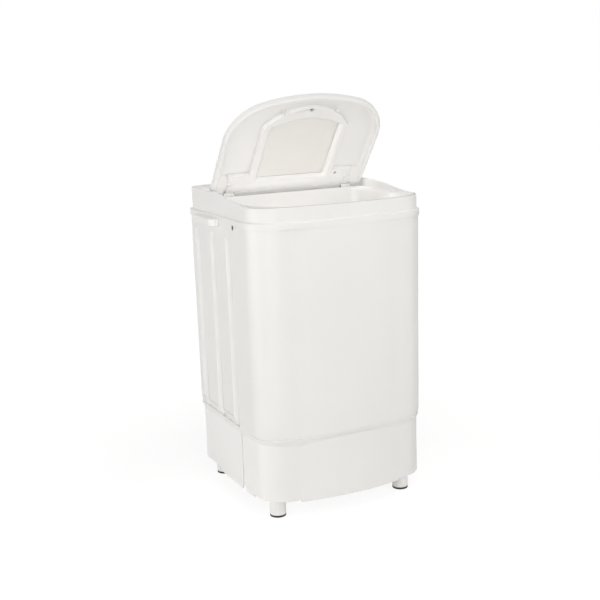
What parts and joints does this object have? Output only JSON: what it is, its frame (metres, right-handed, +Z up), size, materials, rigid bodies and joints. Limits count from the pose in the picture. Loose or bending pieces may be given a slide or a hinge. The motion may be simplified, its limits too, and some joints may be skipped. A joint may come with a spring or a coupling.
{
  "type": "mini washing machine",
  "caption": "Compact top-loading washing machine: fluted tapered casing on a stepped plinth with round feet, a bowed front, and a hinged lid with an arched window over a tub with a pulsator.",
  "frame": {"origin": "on the floor under the middle of the machine's overall width and depth", "axes": "+Z up, -Y is the front, +X is the right-hand side seen from the front"},
  "size_m": [0.392, 0.356, 0.7774],
  "materials": {
    "white_shell": "satin warm white moulding",
    "white_inner": "smooth warm white moulding",
    "window": "translucent beige pane",
    "pad_rubber": "matt black rubber",
    "grey_rubber": "matt dark rubber",
    "steel": "bright zinc-plated steel",
    "dark_steel": "dark plated steel",
    "casting": "as-cast alloy",
    "laminations": "stacked steel laminations",
    "bronze": "sintered bronze",
    "dark_plastic": "matt dark moulding",
    "grey_plastic": "matt light grey moulding",
    "fascia": "satin light grey plate"
  },
  "bodies": {
    "cabinet": {"base": "white_shell", "outer_casing": "white_shell", "top_cover": "white_shell", "foot_leg_front_left": "white_shell", "foot_leg_front_right": "white_shell", "foot_leg_back_left": "white_shell", "foot_leg_back_right": "white_shell", "service_panel": "white_shell", "wash_tub": "white_inner", "foot_pad_front_left": "pad_rubber", "foot_pad_front_right": "pad_rubber", "foot_pad_back_left": "pad_rubber", "foot_pad_back_right": "pad_rubber", "drive_belt": "pad_rubber", "lid_buffers": "grey_rubber", "motor_grommets": "grey_rubber", "shaft_seal": "grey_rubber", "cord_gland": "grey_rubber", "foot_screws": "steel", "hinge_pin_left": "steel", "hinge_pin_right": "steel", "housing_bolts": "steel", "motor_bolts": "steel", "motor_plate_screws": "steel", "motor_plate": "steel", "service_panel_screws": "steel", "capacitor_clip": "steel", "cover_screws": "dark_steel", "bearing_housing": "casting", "motor_lower_shell": "casting", "motor_upper_shell": "casting", "motor_stator": "laminations", "lower_bush": "bronze", "upper_bush": "bronze", "wash_timer": "dark_plastic", "selector_switch": "dark_plastic", "drain_elbow": "grey_plastic", "drain_outlet": "grey_plastic", "capacitor": "grey_plastic", "control_fascia": "fascia"},
    "lid": {"lid_shell": "white_shell", "lid_window": "window", "lid_window_frame": "white_inner", "hinge_bracket_left": "white_inner", "hinge_bracket_right": "white_inner", "lid_screws": "dark_steel"},
    "timer_dial": {"timer_knob": "grey_plastic", "timer_spindle": "steel"},
    "selector_dial": {"selector_knob": "grey_plastic", "selector_spindle": "steel"},
    "pulsator_drive": {"pulsator": "white_inner", "pulsator_screw": "steel", "drive_shaft": "steel", "driven_pulley": "casting", "pulley_nut": "steel"},
    "motor_drive": {"motor_rotor": "steel", "motor_pulley": "casting"}
  },
  "joints": [
    {"name": "lid_hinge", "type": "hinge", "parent": "cabinet", "child": "lid", "pos_m": [0, 0.076, 0.5842], "axis": [-1, 0, 0], "range_deg": [-52.3, 45]},
    {"name": "timer_turn", "type": "hinge", "parent": "cabinet", "child": "timer_dial", "pos_m": [0.07, 0.138, 0.6], "axis": [0, 0, -1], "range_deg": [0, 300]},
    {"name": "selector_turn", "type": "hinge", "parent": "cabinet", "child": "selector_dial", "pos_m": [-0.07, 0.138, 0.6], "axis": [0, 0, -1], "range_deg": [-45, 45]},
    {"name": "pulsator_spin", "type": "hinge", "parent": "cabinet", "child": "pulsator_drive", "pos_m": [0, -0.004, 0.19], "axis": [0, 0, 1], "continuous": true},
    {"name": "motor_spin", "type": "hinge", "parent": "cabinet", "child": "motor_drive", "pos_m": [0.1, 0.085, 0.1], "axis": [0, 0, 1], "continuous": true}
  ],
  "couplings": [
    {"joint": "motor_spin", "follows": "pulsator_spin", "ratio": 3.9412}
  ]
}
